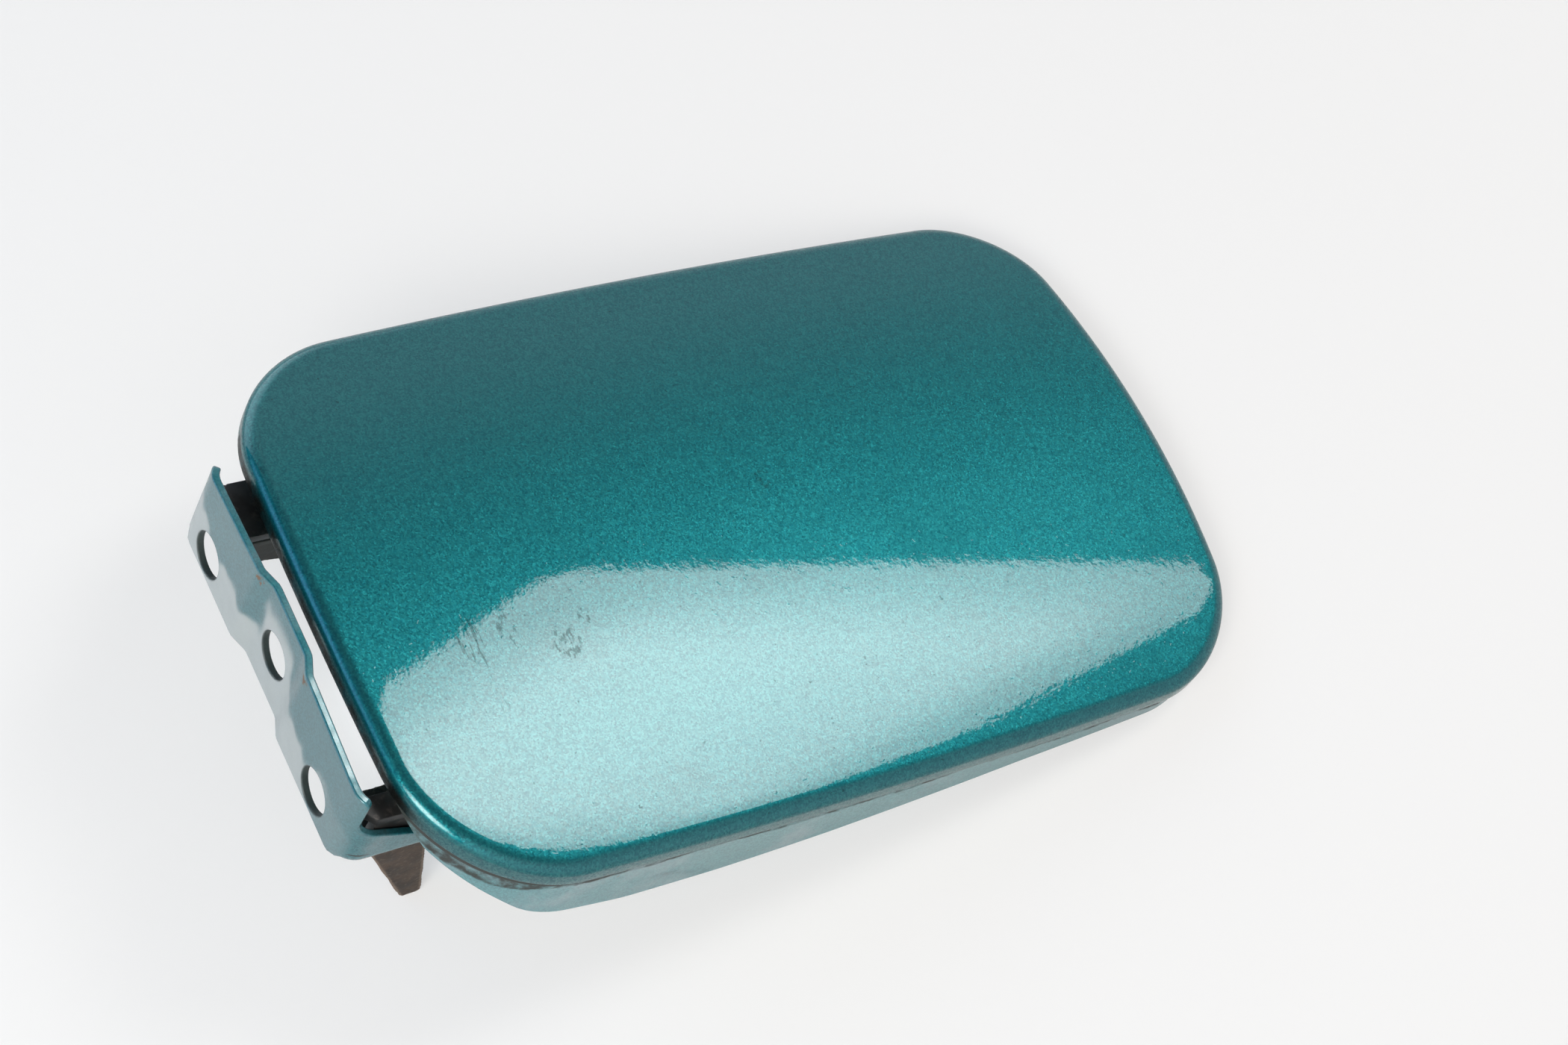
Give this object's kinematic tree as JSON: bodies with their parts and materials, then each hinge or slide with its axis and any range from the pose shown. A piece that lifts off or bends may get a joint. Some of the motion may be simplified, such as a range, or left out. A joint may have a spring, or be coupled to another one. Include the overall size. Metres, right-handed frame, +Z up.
{
  "type": "fuel filler flap",
  "caption": "Crowned sheet-metal fuel filler flap on a bolt-on hinge bracket with rubber stops, lying fully open.",
  "frame": {"origin": "midway between the two bracket bolts, on the bracket's bolting face", "axes": "+X from the bolting face to the flap's free edge, -Y out of the painted face, +Z up along the hinge axis, as the flap stands on a car"},
  "size_m": [0.1905, 0.0486, 0.1144],
  "materials": {
    "flap_paint": "gloss metallic teal with a fine flake, scratched and scuffed",
    "panel_paint": "thin overspray of the teal, dirty along the seam",
    "bracket_paint": "satin grey-teal with dirt and rust specks",
    "arm_paint": "black dip coat, satin",
    "rivet_steel": "dull",
    "catch_steel": "yellow zinc plate",
    "stop_rubber": "aged, dusty",
    "buffer_rubber": "matt"
  },
  "bodies": {
    "bracket": {"hinge_bracket": "bracket_paint", "pivot_rivets": "rivet_steel", "stop_buffer_upper": "stop_rubber", "stop_buffer_lower": "stop_rubber"},
    "flap": {"outer_skin": "flap_paint", "inner_panel": "panel_paint", "hinge_arm_upper": "arm_paint", "hinge_arm_lower": "arm_paint", "arm_rivets": "rivet_steel", "catch_hook": "catch_steel", "catch_rivets": "rivet_steel", "edge_buffer_upper": "buffer_rubber", "edge_buffer_lower": "buffer_rubber"}
  },
  "joints": [
    {"name": "flap_hinge", "type": "hinge", "parent": "bracket", "child": "flap", "pos_m": [0.0205, -0.0003, 0], "axis": [0, 0, 1], "range_deg": [0, 90]}
  ]
}
